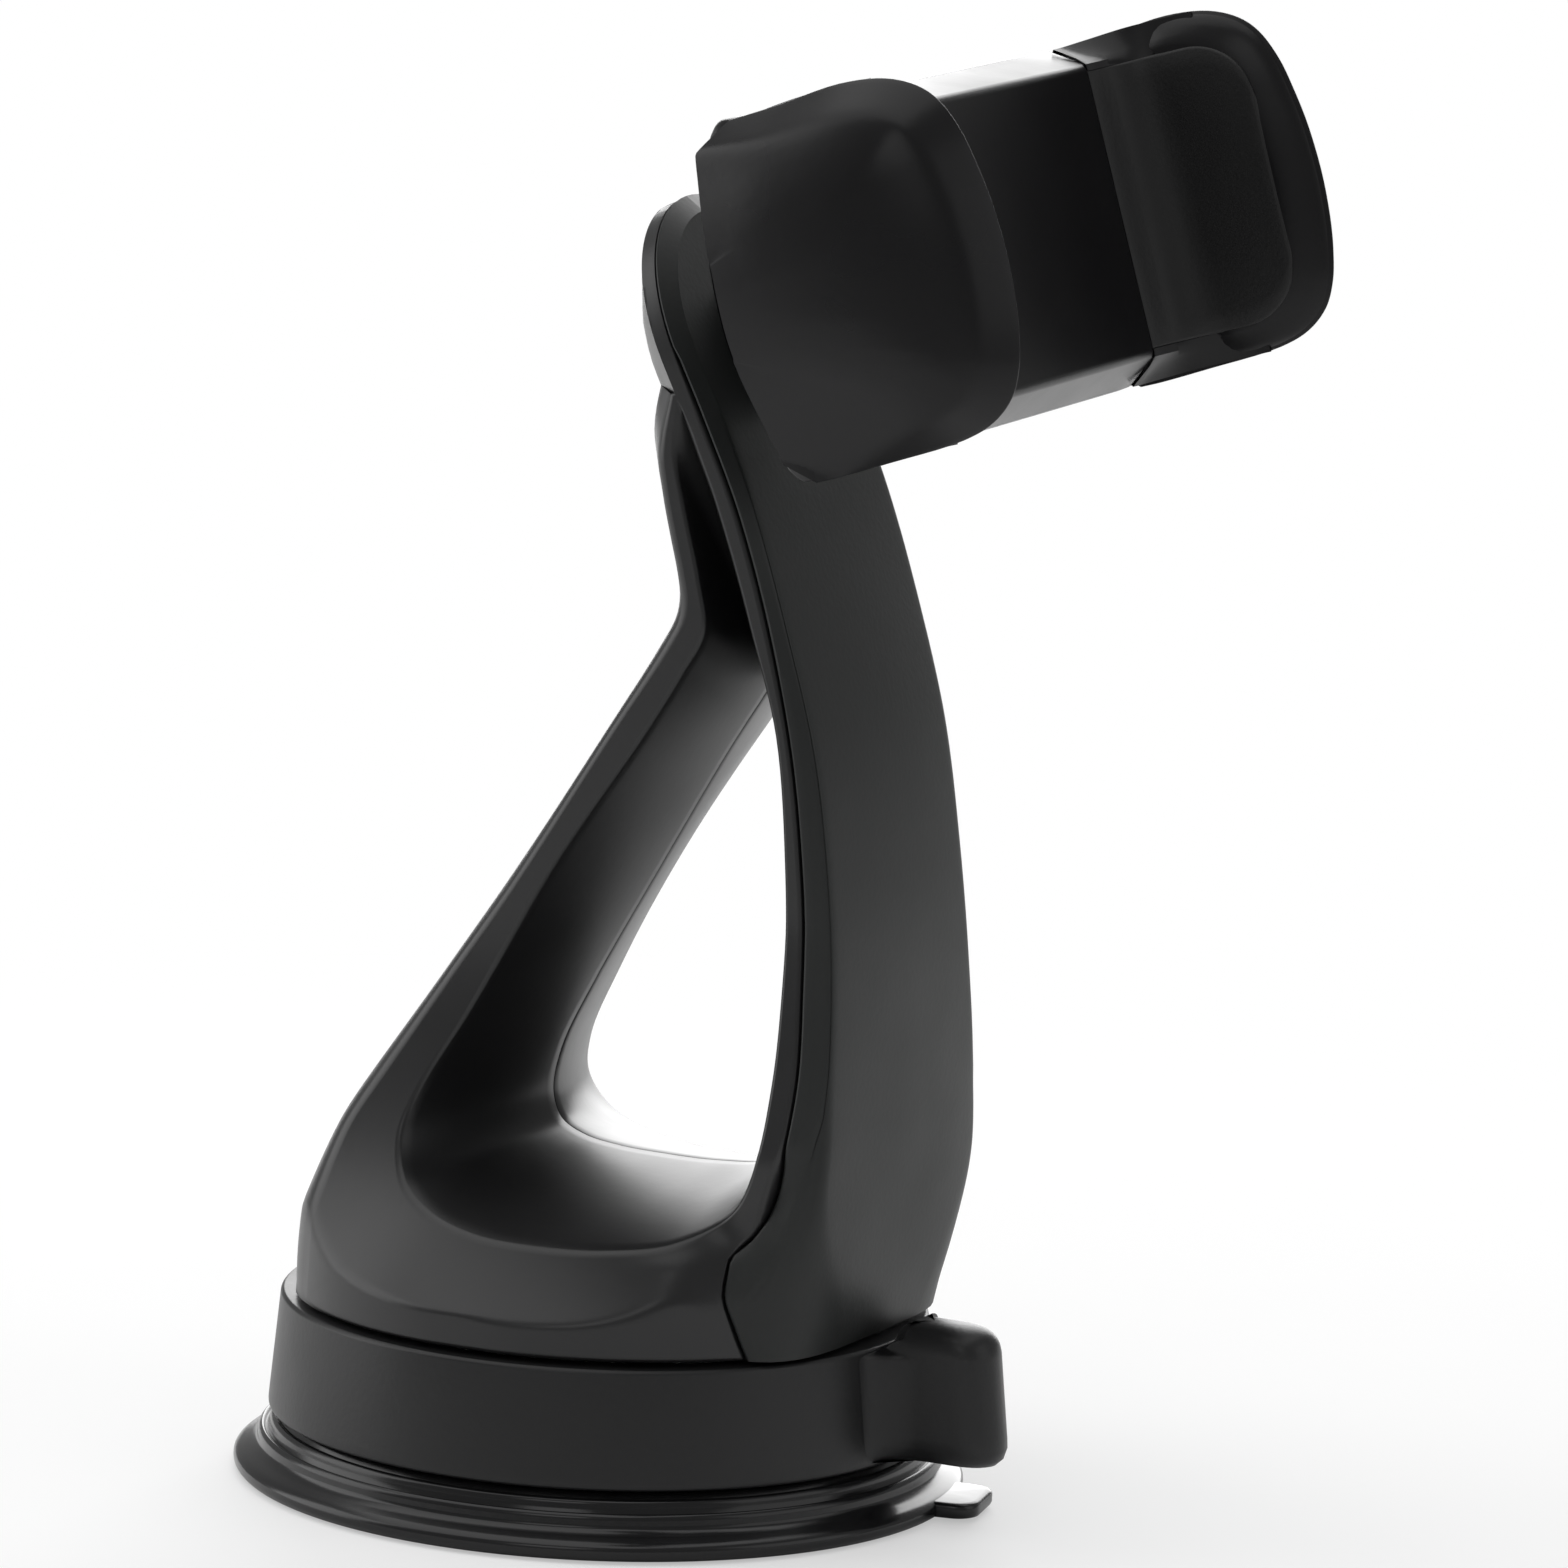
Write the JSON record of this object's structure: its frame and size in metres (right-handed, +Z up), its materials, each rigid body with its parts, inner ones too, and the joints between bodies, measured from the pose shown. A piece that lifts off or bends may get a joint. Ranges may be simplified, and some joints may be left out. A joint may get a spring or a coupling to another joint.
{
  "type": "car phone mount",
  "caption": "Dashboard phone mount with a gel suction cup and twist lock ring, an arched open arm, a ball joint and a spring clamp with two curved jaws.",
  "frame": {"origin": "centre of the gel pad's underside, where it meets the dashboard", "axes": "+Z up out of the dashboard, -Y towards the driver, the way the phone faces, +X to the right seen from the driver"},
  "size_m": [0.097, 0.1042, 0.1636],
  "materials": {
    "body_gloss": "moulded gloss black",
    "cover_satin": "satin charcoal",
    "ring_satin": "satin black",
    "cup_rubber": "smooth glossy rubber",
    "pad_rubber": "soft-touch",
    "gel": "tacky gel",
    "inner_plastic": "moulded",
    "steel": "zinc plated"
  },
  "bodies": {
    "mount": {"gel_pad": "gel", "suction_cup": "cup_rubber", "base_housing": "inner_plastic", "release_spring": "steel", "arm_left_shell": "body_gloss", "arm_right_shell": "body_gloss", "front_cover": "cover_satin", "ball_stud": "body_gloss", "stud_nut": "steel", "base_screw_1": "steel", "base_screw_2": "steel", "base_screw_3": "steel", "base_screw_4": "steel", "arm_screw_1": "steel", "arm_screw_2": "steel", "arm_screw_3": "steel"},
    "lock_ring": {"lock_ring": "ring_satin"},
    "plunger": {"plunger": "inner_plastic"},
    "pan_liner": {"friction_cap": "inner_plastic"},
    "tilt_liner": {"liner_ring": "inner_plastic"},
    "holder": {"holder_back": "body_gloss", "holder_front": "body_gloss", "right_spring": "steel", "left_spring": "steel", "holder_screw_1": "steel", "holder_screw_2": "steel", "holder_screw_3": "steel", "holder_screw_4": "steel"},
    "locking_nut": {"locking_nut": "body_gloss"},
    "right_jaw": {"right_jaw": "body_gloss", "right_jaw_pad": "pad_rubber", "right_rack": "inner_plastic"},
    "left_jaw": {"left_jaw": "body_gloss", "left_jaw_pad": "pad_rubber", "left_rack": "inner_plastic"},
    "pinion": {"pinion": "inner_plastic"}
  },
  "joints": [
    {"name": "lock_turn", "type": "hinge", "parent": "mount", "child": "lock_ring", "pos_m": [0, 0, 0.0134], "axis": [0, 0, -1], "range_deg": [0, 60]},
    {"name": "plunger_lift", "type": "slide", "parent": "mount", "child": "plunger", "axis": [0, 0, 1], "range_m": [0, 0.0025], "deforming": ["suction_cup", "release_spring"]},
    {"name": "ball_pan", "type": "hinge", "parent": "mount", "child": "pan_liner", "pos_m": [0, -0.02313, 0.13106], "axis": [-0.0262, 0.2923, 0.956], "range_deg": [-12, 12]},
    {"name": "ball_tilt", "type": "hinge", "parent": "pan_liner", "child": "tilt_liner", "pos_m": [0, -0.02313, 0.13106], "axis": [0.9997, 0.0076, 0.025], "range_deg": [-22, 10]},
    {"name": "ball_spin", "type": "hinge", "parent": "tilt_liner", "child": "holder", "pos_m": [0, -0.02313, 0.13106], "axis": [0, -0.9563, 0.2924], "continuous": true},
    {"name": "locking_nut_turn", "type": "hinge", "parent": "holder", "child": "locking_nut", "pos_m": [0, -0.02313, 0.13106], "axis": [0, -0.9563, 0.2924], "range_deg": [0, 90]},
    {"name": "right_jaw_slide", "type": "slide", "parent": "holder", "child": "right_jaw", "axis": [0.9997, 0.0076, 0.025], "range_m": [0, 0.009], "stiffness_N_per_m": 120, "springref_m": -0.02, "deforming": ["right_spring"]},
    {"name": "left_jaw_slide", "type": "slide", "parent": "holder", "child": "left_jaw", "axis": [-0.9997, -0.0076, -0.025], "range_m": [0, 0.009], "deforming": ["left_spring"]},
    {"name": "pinion_spin", "type": "hinge", "parent": "holder", "child": "pinion", "pos_m": [-0.00006, -0.03603, 0.13741], "axis": [0, 0.9563, -0.2924], "range_deg": [0, 104]}
  ],
  "couplings": [
    {"joint": "plunger_lift", "follows": "lock_turn", "m_per_rad": 0.002387},
    {"joint": "left_jaw_slide", "follows": "right_jaw_slide", "ratio": 1},
    {"joint": "pinion_spin", "follows": "right_jaw_slide", "rad_per_m": 200}
  ]
}
